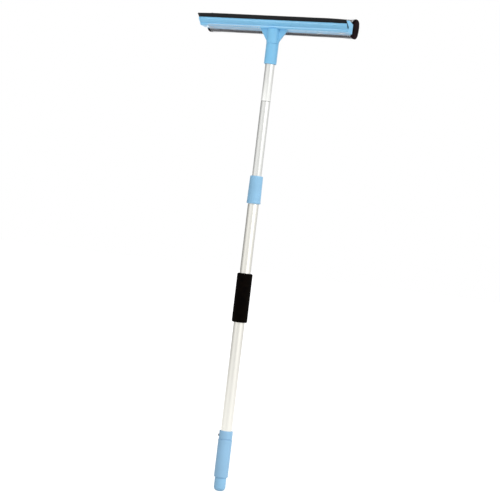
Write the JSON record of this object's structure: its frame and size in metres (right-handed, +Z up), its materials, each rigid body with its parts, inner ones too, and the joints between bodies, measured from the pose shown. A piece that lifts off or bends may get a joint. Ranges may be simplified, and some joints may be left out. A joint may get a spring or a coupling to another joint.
{
  "type": "window cleaning squeegee",
  "caption": "Telescopic window squeegee: rubber blade and netted sponge on a wide head, screwed to a twist-lock pole with a foam grip and a moulded end grip.",
  "frame": {"origin": "centre of the small flat on the bottom end of the pole, on the pole's axis", "axes": "+Z up the pole to the head, +X along the head's width, -Y towards the side that the blade faces"},
  "size_m": [0.331, 0.0695, 0.9628],
  "materials": {
    "blue_plastic": "satin",
    "grip_plastic": "satin",
    "head_plastic": "satin",
    "lower_tube_metal": "satin",
    "upper_tube_metal": "satin",
    "dark_steel": "satin",
    "bright_steel": "polished",
    "black_foam": "matte",
    "nylon": "satin",
    "black_plastic": "satin",
    "black_rubber": "satin",
    "dark_sponge": "matte",
    "white_net": "satin"
  },
  "bodies": {
    "lower_pole": {"end_cap": "blue_plastic", "outer_tube": "lower_tube_metal", "hand_grip": "grip_plastic", "grip_ring": "grip_plastic", "grip_screw": "dark_steel", "foam_grip": "black_foam", "lock_collar": "blue_plastic"},
    "guide": {"guide_bush": "nylon"},
    "upper_pole": {"inner_tube": "upper_tube_metal", "tube_connector": "black_plastic", "neck_tube": "upper_tube_metal", "pole_tip": "head_plastic", "lock_plug": "black_plastic", "cam_washer": "bright_steel", "cam_screw": "dark_steel"},
    "cam": {"lock_cam": "nylon"},
    "head": {"head_body": "head_plastic", "rubber_blade": "black_rubber", "sponge_carrier": "head_plastic", "sponge": "dark_sponge", "net_cover": "white_net", "net_staples": "bright_steel"}
  },
  "joints": [
    {"name": "pole_twist", "type": "hinge", "parent": "lower_pole", "child": "guide", "pos_m": [0, 0, 0.626], "axis": [0, 0, 1], "range_deg": [0, 90]},
    {"name": "pole_slide", "type": "slide", "parent": "guide", "child": "upper_pole", "axis": [0, 0, 1], "range_m": [-0.2245, 0.15]},
    {"name": "lock_cam_turn", "type": "hinge", "parent": "upper_pole", "child": "cam", "pos_m": [0.00048, 0.00036, 0.415], "axis": [0, 0, 1], "range_deg": [-90, 0]},
    {"name": "head_off", "type": "slide", "parent": "upper_pole", "child": "head", "axis": [0, 0, 1], "range_m": [0, 0.032]}
  ],
  "couplings": [
    {"joint": "lock_cam_turn", "follows": "pole_twist", "ratio": -1}
  ]
}
